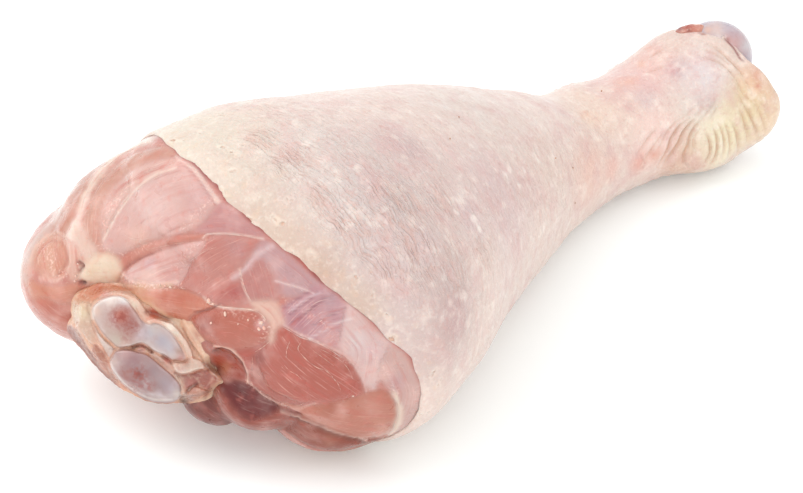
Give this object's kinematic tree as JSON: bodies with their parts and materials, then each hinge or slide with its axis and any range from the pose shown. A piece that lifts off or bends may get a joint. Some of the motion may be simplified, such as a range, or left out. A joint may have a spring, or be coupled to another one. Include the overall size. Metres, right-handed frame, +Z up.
{
  "type": "raw turkey drumstick",
  "caption": "Raw poultry drumstick lying on its side, with the skin drawn back from the cut knee end and cartilage showing at both ends of the bone.",
  "frame": {"origin": "middle of the whole drumstick's box, on the surface that it lies on", "axes": "+X along the leg from the cut knee end to the hock, +Z up, +Y away from the side that faced the camera"},
  "size_m": [0.2356, 0.1164, 0.0837],
  "materials": {
    "skin": "moist raw skin, pale pink and cream, semi-gloss",
    "meat": "wet raw muscle, pink red, glossy",
    "cartilage": "wet cartilage over bone, bluish white, glossy"
  },
  "bodies": {
    "root": {"skin": "skin", "meat": "meat", "leg_bone": "cartilage"}
  },
  "joints": []
}
